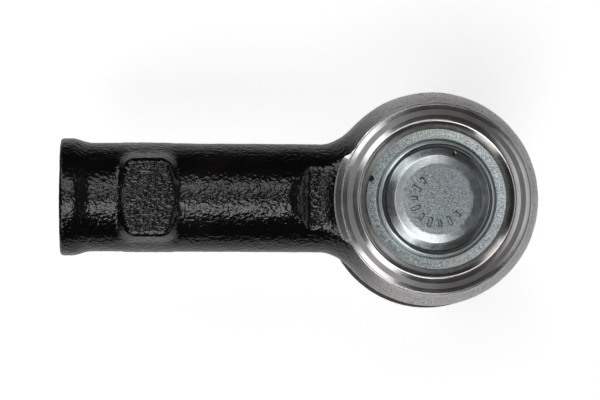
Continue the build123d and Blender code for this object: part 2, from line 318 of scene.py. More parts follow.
def circle_through(a, b, c):
    """Centre and radius of the circle through three (r, z) points."""
    (ax, ay), (bx, by), (cx, cy) = a, b, c
    double = 2 * (ax * (by - cy) + bx * (cy - ay) + cx * (ay - by))
    squares = [x * x + y * y for x, y in (a, b, c)]
    x = (squares[0] * (by - cy) + squares[1] * (cy - ay) + squares[2] * (ay - by)) / double
    y = (squares[0] * (cx - bx) + squares[1] * (ax - cx) + squares[2] * (bx - ax)) / double
    return x, y, math.hypot(ax - x, ay - y)


def arc(circle, start, end, steps):
    """Points along a circle between two angles in radians."""
    x, y, radius = circle
    return [(x + radius * math.cos(t), y + radius * math.sin(t)) for t in np.linspace(start, end, steps)]


def prism(name, outline, low, high, axis="Z"):
    """Closed prism of an (x, y) outline; for axis X the outline is (y, z)."""
    outline = np.asarray(outline, float)
    count = len(outline)
    ends = [np.column_stack([outline, np.full(count, level)]) for level in (low, high)]
    points = np.concatenate(ends)
    if axis == "X":
        points = points[:, [2, 0, 1]]
    sides = [(i, (i + 1) % count, count + (i + 1) % count, count + i) for i in range(count)]
    piece = new_piece(name, points, [tuple(range(count)), tuple(range(count, 2 * count)), *sides])
    tidy_mesh(piece)
    return piece


def swept(name, path, section, side, angle=50):
    """Closed solid of a section carried along an open path; side is the section's first axis."""
    path = np.asarray(path, float)
    ahead = np.gradient(path, axis=0)
    ahead /= np.linalg.norm(ahead, axis=1)[:, None]
    side = np.broadcast_to(np.asarray(side, float), path.shape)
    side = side - (side * ahead).sum(1)[:, None] * ahead
    side /= np.linalg.norm(side, axis=1)[:, None]
    outward = np.cross(side, ahead)
    section = np.asarray(section, float)
    first, second = section[:, 0][:, None], section[:, 1][:, None]
    points = path[:, None] + first * side[:, None] + second * outward[:, None]
    rows, count = len(path), len(section)
    faces = [tuple(range(count)), tuple(range((rows - 1) * count, rows * count))]
    for i in range(rows - 1):
        for j in range(count):
            k = (j + 1) % count
            faces.append((i * count + j, i * count + k, (i + 1) * count + k, (i + 1) * count + j))
    piece = new_piece(name, points.reshape(-1, 3), faces, angle)
    tidy_mesh(piece)
    soften(piece, angle)
    return piece


def reshape(piece, change, angle):
    """Moves the points of a piece to change(points), in millimetres."""
    vertices = piece.data.vertices
    flat = np.empty(len(vertices) * 3)
    vertices.foreach_get("co", flat)
    vertices.foreach_set("co", (change(flat.reshape(-1, 3) / MM) * MM).ravel())
    soften(piece, angle)
    return piece


def thread_height(angle, along, pitch):
    """Height of a screw thread from its root, 0, to its crest, 1."""
    wave = np.abs(2 * np.mod(along / pitch + angle / (2 * math.pi), 1) - 1)
    return np.clip((wave - 0.18) / 0.6, 0, 1)


def cut(piece, tool, operation="DIFFERENCE"):
    """Takes the tool out of the piece, or keeps what they share; cut faces get the tool's material."""
    boolean = piece.modifiers.new("cut", "BOOLEAN")
    boolean.operation = operation
    boolean.object = tool
    boolean.solver = "MANIFOLD"
    boolean.material_mode = "TRANSFER"
    apply_modifiers(piece)
    bpy.data.objects.remove(tool)


def apply_modifiers(piece):
    """Turns the result of a piece's modifiers into its mesh."""
    graph = bpy.context.evaluated_depsgraph_get()
    mesh = bpy.data.meshes.new_from_object(piece.evaluated_get(graph), depsgraph=graph)
    piece.modifiers.clear()
    piece.data = mesh


# ---------------------------------------------------------------- shapes as fields


def round_max(a, b, radius):
    """Intersection of two fields, with a rounded edge."""
    edge = np.hypot(np.maximum(a + radius, 0), np.maximum(b + radius, 0))
    return np.minimum(np.maximum(a, b), -radius) + edge


def round_min(a, b, radius):
    """Union of two fields, with a fillet."""
    return -round_max(-a, -b, radius)


def ramp(x, low, high):
    """0 below low, 1 above high, smooth between."""
    t = np.clip((x - low) / (high - low), 0, 1)
    return t * t * (3 - 2 * t)


def edges_along(axis):
    """Slices that pair every grid point with the next one along an axis."""
    near = [slice(None)] * 3
    far = [slice(None)] * 3
    near[axis], far[axis] = slice(0, -1), slice(1, None)
    return tuple(near), tuple(far)


def gather_crossings(grid, values):
    """Sum and number of each cell's crossing points, and the crossed edges of each axis."""
    inside = values < 0
    cells = tuple(n - 1 for n in values.shape)
    total = np.zeros(cells + (3,))
    hits = np.zeros(cells)
    edges = []
    for axis in range(3):
        near, far = edges_along(axis)
        crossing = inside[near] != inside[far]
        share = np.zeros(crossing.shape)
        a, b = values[near][crossing], values[far][crossing]
        share[crossing] = a / (a - b)
        spots = grid[near] + share[..., None] * (grid[far] - grid[near])
        first, second = (i for i in range(3) if i != axis)
        for di, dj in ((0, 0), (0, 1), (1, 0), (1, 1)):
            part = [slice(None)] * 3
            part[first] = slice(di, di + cells[first])
            part[second] = slice(dj, dj + cells[second])
            part = tuple(part)
            total += np.where(crossing[part][..., None], spots[part], 0)
            hits += crossing[part]
        edges.append((crossing, inside[near]))
    return total, hits, edges


def crossing_quads(axis, crossing, starts_inside, index):
    """Faces around the crossed edges of one axis, all turned outwards."""
    first, second = (i for i in range(3) if i != axis)
    where = np.argwhere(crossing)
    corners = []
    for di, dj in ((1, 1), (0, 1), (0, 0), (1, 0)):
        at = where.copy()
        at[:, first] -= di
        at[:, second] -= dj
        corners.append(index[tuple(at.T)])
    quads = np.stack(corners, -1)
    starts = starts_inside[crossing]
    flip = ~starts if axis == 1 else starts
    return np.where(flip[:, None], quads, quads[:, ::-1])


def surface_net(field, low, high, step):
    """Closed quad mesh of a field's zero level, as points and faces."""
    axes = [np.arange(a, b + step, step) for a, b in zip(low, high)]
    grid = np.stack(np.meshgrid(*axes, indexing="ij"), -1)
    values = field(grid.reshape(-1, 3)).reshape(grid.shape[:3])
    total, hits, edges = gather_crossings(grid, values)
    active = hits > 0
    index = np.full(hits.shape, -1)
    index[active] = np.arange(active.sum())
    points = total[active] / hits[active][:, None]
    quads = [crossing_quads(axis, *edge, index) for axis, edge in enumerate(edges)]
    return points, np.concatenate(quads)


def gradient(field, points, step=0.02):
    """Slope of a field along each axis."""
    slope = []
    for axis in range(3):
        offset = np.zeros(3)
        offset[axis] = step
        slope.append((field(points + offset) - field(points - offset)) / (2 * step))
    return np.stack(slope, -1)


def settle(field, points, rounds=3):
    """Moves points onto the zero level of the field."""
    for _ in range(rounds):
        slope = gradient(field, points)
        length = np.maximum((slope**2).sum(-1), 0.1)
        points = points - (field(points) / length)[:, None] * slope
    return points


def relax(points, quads, field, rounds=2):
    """Evens out the spacing of a net's points, keeping them on the surface."""
    ends = np.concatenate([quads[:, [i, (i + 1) % 4]] for i in range(4)])
    for _ in range(rounds):
        total = np.zeros_like(points)
        count = np.zeros(len(points))
        np.add.at(total, ends[:, 0], points[ends[:, 1]])
        np.add.at(total, ends[:, 1], points[ends[:, 0]])
        np.add.at(count, ends[:, 0], 1)
        np.add.at(count, ends[:, 1], 1)
        points = settle(field, total / count[:, None], 1)
    return points


# ---------------------------------------------------------------- housing


def shank_field(x, y, z):
    """Shank with its end bead, and the flat webs pressed into the neck."""
    radius = SHANK_R + BEAD_RISE * (1 - ramp(x, *BEAD_X))
    bar = round_max(np.hypot(y, z) - radius, SHANK_END_X - x, 0.7)
    slopes = []
    for start_x, start_z, degrees in WEB_SLOPES:
        fall = math.tan(math.radians(degrees))
        slopes.append((np.abs(z) - start_z + fall * (x - start_x)) * math.cos(math.radians(degrees)))
    web = round_min(np.abs(z) - WEB_Z, round_max(*slopes, 0.3), 0.5)
    return round_max(bar, web, 0.45)


def side_arc(height, foot_r):
    """Radius of the arc that leaves the eye's equator upright and ends at a height and radius."""
    inset = EYE_R - foot_r
    return (inset**2 + height**2) / (2 * inset)


def eye_field(x, y, z):
    """Barrel of the eye, before machining."""
    rho = np.hypot(x, y)
    upper_r = side_arc(RIM_Z, RIM_R)
    lower_r = side_arc(EYE_BOTTOM_Z, EYE_FOOT_R)
    upper = np.hypot(np.maximum(rho - EYE_R + upper_r, 0), z) - upper_r
    lower = np.hypot(np.maximum(rho - EYE_R + lower_r, 0), z) - lower_r
    return np.where(z > 0, upper, lower)


def pad_field(x, y, z):
    """Raised wrench pad with drafted walls."""
    up = np.abs(z)
    crown = np.sqrt(np.maximum(SHANK_R**2 - y**2, 1))
    half_x = PAD_HALF[0] - PAD_SLOPE[0] * (up - crown)
    half_y = PAD_HALF[1] + PAD_SLOPE[1] * (PAD_TOP_Z - up)
    corner = np.clip(PAD_CORNER[0] + 0.3 * (PAD_TOP_Z - up), *PAD_CORNER)
    outline = round_max(np.abs(x - PAD_X) - half_x, np.abs(y) - half_y, corner)
    return round_max(outline * 0.85, up - PAD_TOP_Z, 0.7)


def forging_field(points):
    """Whole forging, with spare metal where the lathe cuts."""
    x, y, z = points.T
    neck = np.maximum(shank_field(x, y, z), x - SHANK_START_X)
    eye = round_min(neck, eye_field(x, y, z), NECK_BLEND)
    body = round_min(eye, pad_field(x, y, z), 0.5)
    rho = np.hypot(x, y)
    collar = np.maximum(rho - COLLAR_R - 1, z)
    whole = np.maximum(np.minimum(body, collar), z - LIP_TOP[1] - SPARE_METAL)
    return np.maximum(whole, COLLAR_END_Z - SPARE_METAL - z)


def forging():
    """Painted forging: the field's surface with the shallow waviness of a forged skin."""
    margin = 1.5
    low = (SHANK_END_X - margin, -EYE_R - margin, COLLAR_END_Z - 2 * margin)
    high = (EYE_R + margin, EYE_R + margin, LIP_TOP[1] + 2 * margin)
    points, quads = surface_net(forging_field, low, high, NET_STEP)
    points = relax(settle(forging_field, points), quads, forging_field)
    normals = gradient(forging_field, points)
    normals /= np.linalg.norm(normals, axis=1)[:, None]
    wave = np.array([forged_skin(p) for p in points])
    return new_piece("housing_body", points + normals * wave[:, None], quads.tolist())


def forged_skin(p):
    """Height of the forged skin above the nominal surface."""
    broad = noise.noise(Vector(p) * 0.35)
    pebble = noise.noise(Vector(p) * 1.15)
    return SKIN_HEIGHT * broad + SKIN_HEIGHT * pebble


def machining_tool():
    """Everything the lathe takes away: face, lip, cap pocket, socket, mouth and collar."""
    far = EYE_R + 5
    top = LIP_TOP[1] + 4
    bottom = COLLAR_END_Z - 4
    mouth_r = math.sqrt(SOCKET_R**2 - MOUTH_Z**2)
    groove_low, groove_high = COLLAR_GROOVE
    outline = rounded([
        (0, top, 0),
        (FACE_END[0] + 0.4, top, 0),
        (*FACE_END, 0.25),
        (*FACE_LINE[1], 0.08),
        (*FACE_LINE[0], 0.08),
        (*FACE_BAND[1], 0.3),
        (*FACE_BAND[0], 0.3),
        (*LIP_TOP, 0.5),
        (LIP_INNER_R, CAP_FLANGE_Z, 0),
        (POCKET_R, CAP_FLANGE_Z, 0),
        (POCKET_R, CAP_Z, 0),
        (SOCKET_R, CAP_Z, 0.2),
        (SOCKET_R, 0, 0),
    ])
    sphere = [(math.sqrt(SOCKET_R**2 - z**2), z) for z in np.linspace(-0.5, MOUTH_Z, 16)]
    below = rounded([
        (mouth_r, MOUTH_Z, 0),
        (MOUTH_END_R, COLLAR_END_Z, 0.3),
        (COLLAR_R, COLLAR_END_Z, 0.35),
        (COLLAR_R, groove_low, 0.2),
        (COLLAR_GROOVE_R, groove_low, 0.2),
        (COLLAR_GROOVE_R, groove_high, 0.2),
        (COLLAR_R, groove_high, 0.2),
        (COLLAR_R, EYE_BOTTOM_Z, 0.4),
        (far, EYE_BOTTOM_Z, 0),
        (far, bottom, 0),
        (0, bottom, 0),
    ])
    return turned("machining", np.concatenate([outline, sphere[:-1], below]), 288)


def bore_tool():
    """Tapped hole: what the drill, the chamfer and the tap take away."""
    tip = BORE_MINOR_R / math.tan(math.radians(DRILL_TIP_ANGLE))
    outline = dense([
        (0, SHANK_END_X - 2),
        (BORE_CHAMFER_R + 2, SHANK_END_X - 2),
        (BORE_CHAMFER_R, SHANK_END_X),
        (BORE_MINOR_R, SHANK_END_X + BORE_CHAMFER_R - BORE_MINOR_R),
        (BORE_MINOR_R, BORE_END_X),
        (0, BORE_END_X + tip),
    ], BORE_PITCH / 10)

    def tap(points):
        """Widens the drilled wall into the thread."""
        x, y, z = points.T
        rho = np.hypot(y, z)
        height = thread_height(np.arctan2(z, y), x, BORE_PITCH)
        height *= 1 - ramp(x, BORE_END_X - 4, BORE_END_X - 1)
        tapped = np.maximum(rho, BORE_MINOR_R + (BORE_MAJOR_R - BORE_MINOR_R) * height)
        wall = (rho > BORE_MINOR_R - 0.01) & (x > SHANK_END_X - 1.5)
        scale = np.where(wall, tapped / np.maximum(rho, 1e-6), 1)
        return np.stack([x, y * scale, z * scale], -1)

    return reshape(turned("bore", outline, 96, "X"), tap, 50)


def housing():
    """Forged body, machined at the eye and tapped at the shank."""
    body = forging()
    body.data.materials.append(black_paint())
    lathe = machining_tool()
    lathe.data.materials.append(machined_steel())
    cut(body, lathe)
    bore = bore_tool()
    bore.data.materials.append(bore_steel())
    cut(body, bore)
    soften(body, 25)
    return body


# ---------------------------------------------------------------- cover cap


def mark_height(x, y):
    """Height of the generic raised bars that stand round the disc of the cap."""
    height = np.zeros_like(x)
    for i in range(MARK_COUNT):
        turn = math.radians(MARK_START + i * MARK_PITCH)
        along = x * math.cos(turn) + y * math.sin(turn) - MARK_RING_R
        across = y * math.cos(turn) - x * math.sin(turn)
        away = np.hypot(np.maximum(np.abs(along) - MARK_HALF[i % 2], 0), across)
        height = np.maximum(height, MARK_HEIGHT * (1 - ramp(away, 0.2, 0.42)))
    return height


def cover_cap():
    """Pressed cover: flange, step and domed centre."""
    outline = dense(rounded([
        (0, CAP_DISC_Z, 0),
        (CAP_DOME_R, CAP_DISC_Z, CAP_DOME_BEND),
        (*CAP_DOME_FOOT, 0.5),
        (10.6, 11.45, 0.2),
        (10.8, 11.3, 0.1),
        (*CAP_STEP_TOP, 0.3),
        (11.45, 9.8, 0.2),
        (*CAP_STEP_FOOT, 0.2),
        (13.8, CAP_FLANGE_Z, 0.2),
        (CAP_R, CAP_FLANGE_Z, 0.2),
        (CAP_R, CAP_Z, 0.2),
        (CAP_INNER_R, CAP_Z, 0.4),
        (10.4, 10.2, 0.3),
        (8.8, 10.6, 0.4),
        (7.4, CAP_INNER_Z, 3.0),
        (0, CAP_INNER_Z, 0),
    ]), 0.16)
    piece = turned("cover_cap_shell", outline, 360)

    def press(points):
        """Raises the marks and pushes in the pit."""
        x, y, z = points.T
        marked = (z > CAP_INNER_Z + 0.2) & (np.hypot(x, y) < MARK_ZONE_R)
        lift = np.where(marked, mark_height(x, y), 0)
        pit = np.hypot(x - CAP_PIT[0], y - CAP_PIT[1])
        lift -= np.where(z > 11, CAP_PIT_DEPTH * (1 - ramp(pit, 0.1, 0.4)), 0)
        return np.stack([x, y, z + lift], -1)

    reshape(piece, press, 30)
    piece.data.materials.append(zinc_plate())
    return piece


# ---------------------------------------------------------------- stud, nut and pin


def ball_stud():
    """Ball, neck, taper and rolled thread in one piece, drilled for the split pin."""
    ball = (0, 0, BALL_R)
    top = math.asin(BALL_TOP_Z / BALL_R)
    foot_r = STUD_NECK_R + 0.35
    foot_z = -math.sqrt(BALL_R**2 - foot_r**2)
    foot = math.asin(foot_z / BALL_R)
    pin = rounded([
        (foot_r, foot_z, 0),
        (STUD_NECK_R, foot_z - 0.7, 0.7),
        (STUD_NECK_R, STUD_NECK_END_Z, 1.5),
        (TAPER_TOP[0], TAPER_TOP[1] + 0.3, 0.5),
        (*TAPER_END, 0.3),
        (STUD_MINOR_R, TAPER_END[1] - 0.9, 0.3),
        (STUD_MINOR_R, STUD_THREAD_Z, 0.2),
        (STUD_THREAD_R, STUD_THREAD_Z - 0.7, 0),
        (STUD_THREAD_R, STUD_END_Z + 1.1, 0),
        (STUD_THREAD_R - 1.1, STUD_END_Z, 0.2),
        (0, STUD_END_Z, 0),
        (0, BALL_TOP_Z, 0),
    ])
    outline = np.concatenate([arc(ball, top, foot, 40)[:-1], pin])
    piece = turned("ball_stud_body", dense(outline, STUD_PITCH / 9), 144)

    def roll(points):
        """Narrows the threaded end down to the thread."""
        x, y, z = points.T
        rho = np.hypot(x, y)
        height = thread_height(np.arctan2(y, x), z, STUD_PITCH)
        crest = STUD_MINOR_R + (STUD_THREAD_R - STUD_MINOR_R) * height
        threaded = (z < STUD_THREAD_Z) & (rho > STUD_MINOR_R - 0.35)
        scale = np.where(threaded, np.minimum(rho, crest) / np.maximum(rho, 1e-6), 1)
        return np.stack([x * scale, y * scale, z], -1)

    reshape(piece, roll, 40)
    drill = turned("drill", [(0, -12), (PIN_HOLE_R, -12), (PIN_HOLE_R, 12), (0, 12)], 48, "Y")
    reshape(drill, lambda points: points + (0, 0, PIN_Z), 40)
    steel = ground_steel()
    piece.data.materials.append(steel)
    drill.data.materials.append(steel)
    cut(piece, drill)
    soften(piece, 35)
    return piece


def cut_slots(nut, metal):
    """Six slots in the crown, as three cuts right through."""
    half = NUT_SLOT / 2
    outline = rounded([
        (-half, NUT_END_Z - 1, 0),
        (half, NUT_END_Z - 1, 0),
        (half, SLOT_TOP_Z, 1.1),
        (-half, SLOT_TOP_Z, 1.1),
    ])
    for i in range(3):
        slot = prism("slot", outline, -14, 14, "X")
        slot.rotation_euler.z = math.radians(30 + 60 * i)
        slot.data.materials.append(metal)
        bpy.context.view_layer.update()
        cut(nut, slot)


def castle_nut():
    """Hexagon nut with chamfered corners and a slotted round crown."""
    piece = turned("castle_nut_body", rounded([
        (NUT_BORE_R, NUT_TOP_Z - NUT_CHAMFER, 0),
        (NUT_BORE_R + NUT_CHAMFER, NUT_TOP_Z, 0),
        (NUT_TOP_R, NUT_TOP_Z, 0.15),
        (NUT_TURNED_R, NUT_TOP_Z - 1.1, 0.15),
        (NUT_TURNED_R, NUT_HEX_Z + 0.9, 0.15),
        (NUT_HEX_END_R, NUT_HEX_Z, 0.15),
        (NUT_CROWN_R, NUT_HEX_Z, 0.3),
        (NUT_CROWN_R, NUT_END_Z, 0.5),
        (NUT_BORE_R + NUT_CHAMFER, NUT_END_Z, 0),
        (NUT_BORE_R, NUT_END_Z + NUT_CHAMFER, 0),
    ]), 180)
    corners = [math.radians(60 * i) for i in range(6)]
    corner_r = NUT_FLATS / 2 / math.cos(math.radians(30))
    hexagon = rounded([(corner_r * math.cos(t), corner_r * math.sin(t), 0.25) for t in corners])
    zinc = zinc_hardware()
    piece.data.materials.append(zinc)
    blank = prism("hexagon", hexagon, NUT_END_Z - 1, NUT_TOP_Z + 1)
    blank.data.materials.append(zinc)
    cut(piece, blank, "INTERSECT")
    cut_slots(piece, zinc)
    soften(piece, 30)
    return piece


def cotter_pin():
    """Split pin: one half-round wire folded at the eye, with both legs bent over."""
    leg_y = -(NUT_FLATS / 2 + PIN_R + 0.2)
    under = STUD_END_Z - PIN_R - 0.35 - PIN_Z
    eye_start, eye_end = PIN_EYE_Y
    route = dense(rounded([
        (leg_y, PIN_LEG_UP, 0),
        (leg_y, PIN_GAP, 1.7),
        (PIN_THROAT_Y, PIN_GAP, 2.5),
        (eye_start, PIN_EYE_HALF, 1.9),
        (eye_end, PIN_EYE_HALF, 1.78),
        (eye_end, -PIN_EYE_HALF, 1.78),
        (eye_start, -PIN_EYE_HALF, 1.9),
        (PIN_THROAT_Y, -PIN_GAP, 2.5),
        (leg_y, -PIN_GAP, 1.7),
        (leg_y + 0.2, under, 1.7),
        (PIN_LEG_END_Y, under, 0),
    ]), 0.5, closed=False)
    path = np.column_stack([np.zeros(len(route)), route[:, 0], route[:, 1] + PIN_Z])
    turns = np.linspace(0.12, math.pi - 0.12, 15)
    section = [(PIN_R * math.cos(t), PIN_R * math.sin(t)) for t in turns]
    section += [(-PIN_R * 0.9, 0), (PIN_R * 0.9, 0)]
    piece = swept("cotter_pin_wire", path, section, (1, 0, 0))
    piece.data.materials.append(pin_steel())
    return piece


# ---------------------------------------------------------------- boot and rings


def boot_shape(points):
    """Hangs the bulge a little to one side and gives its rim fine moulded ribs."""
    x, y, z = points.T
    share = ramp(z, *BOOT_SHIFT_Z[0]) * (1 - ramp(z, *BOOT_SHIFT_Z[1]))
    rho = np.hypot(x, y)
    rib = BOOT_RIB_HEIGHT * (np.cos(BOOT_RIBS * np.arctan2(y, x)) - 1)
    rim = ramp(rho, *BOOT_RIB_R) * ramp(z, *BOOT_RIB_Z[0]) * (1 - ramp(z, *BOOT_RIB_Z[1]))
    scale = 1 + rim * rib / np.maximum(rho, 1e-6)
    return np.stack([x * scale + share * BOOT_SHIFT[0], y * scale + share * BOOT_SHIFT[1], z], -1)


def boot_walls():
    """Circles that the outer and inner faces of the boot follow below the bulge."""
    outer = circle_through((BOOT_R, BOOT_EDGE_Z), (16.8, -18.2), (6.5, -21.1))
    inner = circle_through((BOOT_R - BOOT_WALL, BOOT_EDGE_Z), (15.9, -17.0), (6.5, -19.6))
    return outer, inner


def boot_section(name, outline):
    """Rubber piece from a closed outline, with four steps to a rib."""
    piece = turned(name, dense(outline, 0.4), 4 * BOOT_RIBS)
    reshape(piece, boot_shape, 40)
    piece.data.materials.append(rubber())
    return piece


def boot_upper():
    """Bead in the collar's groove, and the bulge down to the moulding seam."""
    outer, inner = boot_walls()
    seam = math.asin((BOOT_SEAM_Z + SEAM_HALF - outer[1]) / outer[2])
    seam_in = math.asin((BOOT_SEAM_Z - inner[1]) / inner[2])
    lip_r, lip_gap = BOOT_LIP
    bead = rounded([
        (lip_r, COLLAR_GROOVE[1] - lip_gap, 0),
        (15.75, -9.85, 0.1),
        (16.4, -9.8, 0.15),
        (16.4, -10.1, 0.15),
        (15.98, -10.3, 0.2),
        (15.98, -11.15, 0.2),
        (16.5, -11.35, 0.2),
        (19.2, -11.6, 1.2),
        (BOOT_R, BOOT_EDGE_Z + 0.5, 0.7),
        (BOOT_R, BOOT_EDGE_Z, 0),
    ])
    start = math.asin((BOOT_EDGE_Z - 0.1 - outer[1]) / outer[2])
    wall = arc(outer, start, seam, 14)
    rib_r = wall[-1][0] + SEAM_RISE
    rib = [(rib_r, BOOT_SEAM_Z + SEAM_RISE), (rib_r, BOOT_SEAM_Z)]
    back = arc(inner, seam_in, math.asin((BOOT_EDGE_Z - 0.2 - inner[1]) / inner[2]), 10)
    inside = [(18.5, -12.75), (16.4, -12.6), (15.75, -12.45), (lip_r, COLLAR_GROOVE[0] + lip_gap)]
    return boot_section("dust_boot_upper", [*bead, *wall, *rib, *back, *inside])


def boot_lower():
    """Boot below the moulding seam, with the neck that grips the stud."""
    outer, inner = boot_walls()
    seam = math.asin((BOOT_SEAM_Z - SEAM_HALF - outer[1]) / outer[2])
    seam_in = math.asin((BOOT_SEAM_Z - inner[1]) / inner[2])
    end = -math.acos((BOOT_NECK_R + 1.2 - outer[0]) / outer[2])
    end_in = -math.acos((BOOT_NECK_R - 0.7 - inner[0]) / inner[2])
    wall = arc(outer, seam, end, 26)
    rib_r = wall[0][0] + SEAM_RISE
    rib = [(rib_r, BOOT_SEAM_Z), (rib_r, BOOT_SEAM_Z - SEAM_RISE)]
    neck = rounded([
        (9.3, -20.75, 0.6),
        (9.15, -21.9, 0.3),
        (9.5, -22.05, 0.12),
        (9.5, -22.2, 0.12),
        (BOOT_NECK_R, -22.4, 0.15),
        (BOOT_NECK_R, -23.4, 0.15),
        (9.5, -23.6, 0.12),
        (9.4, -24.9, 0.3),
        (8.95, BOOT_END_Z, 0.2),
        (BOOT_NECK_INNER_R, BOOT_END_Z, 0.2),
        (BOOT_NECK_INNER_R, -20.6, 0.8),
    ])
    back = arc(inner, end_in, seam_in, 22)
    return boot_section("dust_boot_lower", [*rib, *wall, *neck, *back])


def wire_ring(name, radius, z):
    """Retaining ring wound from a little over two turns of round spring wire."""
    turns = np.linspace(0, RING_TURNS * 2 * math.pi, 260)
    lift = (turns / (2 * math.pi) - RING_TURNS / 2) * 2 * RING_WIRE_R
    path = np.column_stack([radius * np.cos(turns), radius * np.sin(turns), z + lift])
    rounds = np.arange(12) / 12 * 2 * math.pi
    section = np.column_stack([np.cos(rounds), np.sin(rounds)]) * (RING_WIRE_R - 0.01)
    piece = swept(name, path, section, (0, 0, 1))
    piece.data.materials.append(ring_steel())
    return piece


def lip_insert():
    """Flat steel ring that backs the sealing face of the boot's small end."""
    low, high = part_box("boot_lip_insert")
    low_z, high_z = low.z / MM, high.z / MM
    inner_r, outer_r = INSERT_R
    piece = turned("boot_lip_ring", rounded([
        (inner_r, high_z, 0.12),
        (outer_r, high_z, 0.12),
        (outer_r, low_z, 0.2),
        (inner_r, low_z, 0.2),
    ]), 128)
    piece.data.materials.append(ring_steel())
    return piece


# ---------------------------------------------------------------- materials


class Surface:
    """Procedural material: patterns in object space that feed one Principled shader."""

    def __init__(self, name, constants):
        self.material = bpy.data.materials.new(name)
        self.material.use_nodes = True
        self.nodes = self.material.node_tree.nodes
        self.links = self.material.node_tree.links
        self.shader = self.nodes["Principled BSDF"]
        self.place = self.nodes.new("ShaderNodeTexCoord").outputs["Object"]
        for socket, value in constants.items():
            self.shader.inputs[socket].default_value = value

    def node(self, kind, sockets, output=0, **settings):
        made = self.nodes.new("ShaderNode" + kind)
        for key, value in settings.items():
            setattr(made, key, value)
        for key, value in sockets.items():
            if isinstance(value, bpy.types.NodeSocket):
                self.links.new(value, made.inputs[key])
            else:
                made.inputs[key].default_value = value
        return made.outputs[output]

    def noise(self, scale, detail=2, stretch=(1, 1, 1)):
        place = self.node("Mapping", {"Vector": self.place, "Scale": stretch})
        return self.node("TexNoise", {"Vector": place, "Scale": scale, "Detail": detail})

    def lines(self, value, scale, detail=2):
        """Uneven stripes along a value, such as the marks that a lathe leaves."""
        return self.node("TexNoise", {"W": value, "Scale": scale, "Detail": detail}, noise_dimensions="1D")

    def span(self, value, low, high, to_low=0.0, to_high=1.0):
        sockets = {"Value": value, "From Min": low, "From Max": high, "To Min": to_low, "To Max": to_high}
        return self.node("MapRange", sockets, interpolation_type="SMOOTHSTEP")

    def maths(self, operation, a, b):
        return self.node("Math", {0: a, 1: b}, operation=operation)

    def mix(self, share, a, b):
        return self.node("MixRGB", {"Fac": share, "Color1": a, "Color2": b})

    def along(self, axis):
        return self.node("SeparateXYZ", {"Vector": self.place}, output="XYZ".index(axis))

    def radius(self, centre=(0, 0)):
        """Distance from an upright line through an (x, y) place."""
        shift = (-centre[0] * MM, -centre[1] * MM, 0)
        flat = self.node("Mapping", {"Vector": self.place, "Location": shift, "Scale": (1, 1, 0)})
        return self.node("VectorMath", {0: flat}, output=1, operation="LENGTH")

    def beyond(self, fade, inside=0.0, outside=1.0):
        """Blend from one value to another between two radii."""
        return self.span(self.radius(), fade[0] * MM, fade[1] * MM, inside, outside)

    def spot(self, centre, radius):
        """1 around an (x, y) place, 0 outside the radius."""
        return self.span(self.radius(centre), radius * MM, 0.6 * radius * MM)

    def bump(self, height, distance, below=None):
        sockets = {"Height": height, "Distance": distance, "Strength": 1.0}
        if below is not None:
            sockets["Normal"] = below
        return self.node("Bump", sockets)

    def feed(self, socket, value):
        self.links.new(value, self.shader.inputs[socket])


def grey(level, tint=(1, 1, 1)):
    """Colour of one brightness, with a slight tint."""
    return (level * tint[0], level * tint[1], level * tint[2], 1)


def black_paint():
    """Glossy black paint with the pebbled skin of a forging, rubbed thin on the wall of the eye; along the
    rim's edge, bare steel brightened into a painted highlight.
    """
    made = Surface("black_paint", {"IOR": 1.52})
    pebble = made.noise(1500, 1.2)
    fine = made.noise(4200, 1)
    speckle = made.span(made.noise(3000, 3), 0.36, 0.54)
    wall = made.span(made.along("X"), -0.0185, -0.006)
    wear_and_rim_highlight = made.maths("MULTIPLY", wall, made.span(speckle, 0, 1, 0.7, 1.0))
    flaw = made.span(made.noise(420, 3), 0.68, 0.72, 1, 0.15)
    wear_and_rim_highlight = made.maths("MULTIPLY", wear_and_rim_highlight, flaw)
    # The rim's edge is partly bare steel and partly a painted highlight: its colour is raised to 0.95 to
    # stand in for the bright line of a rounded edge.
    edge = made.maths("MULTIPLY", made.beyond((RIM_R + 0.7, RIM_R + 0.35)), wall)
    wear_and_rim_highlight = made.maths("MAXIMUM", wear_and_rim_highlight, edge)
    patches = made.span(made.noise(55, 3), 0.55, 0.75)
    black = made.mix(patches, grey(0.002), grey(0.006, (1.25, 0.9, 0.8)))
    grains = made.span(fine, 0.38, 0.62)
    grain = made.mix(grains, grey(0.5, (1.0, 0.94, 0.92)), grey(0.92, (1.0, 0.96, 0.95)))
    # Worn steel colour, raised to 0.95 at the rim's edge as a painted highlight.
    bare_steel_and_highlight = made.mix(edge, grain, grey(0.95))
    made.feed("Base Color", made.mix(wear_and_rim_highlight, black, bare_steel_and_highlight))
    made.feed("Metallic", wear_and_rim_highlight)
    smear = made.span(made.noise(260, 3), 0.3, 0.7, 0.06, 0.14)
    rubbed = made.maths("ADD", made.maths("MULTIPLY", wear_and_rim_highlight, 0.22), made.maths("MULTIPLY", edge, 0.2))
    made.feed("Roughness", made.maths("ADD", smear, rubbed))
    under = made.bump(fine, 0.00002)
    made.feed("Normal", made.bump(pebble, 0.00015, under))
    return made.material


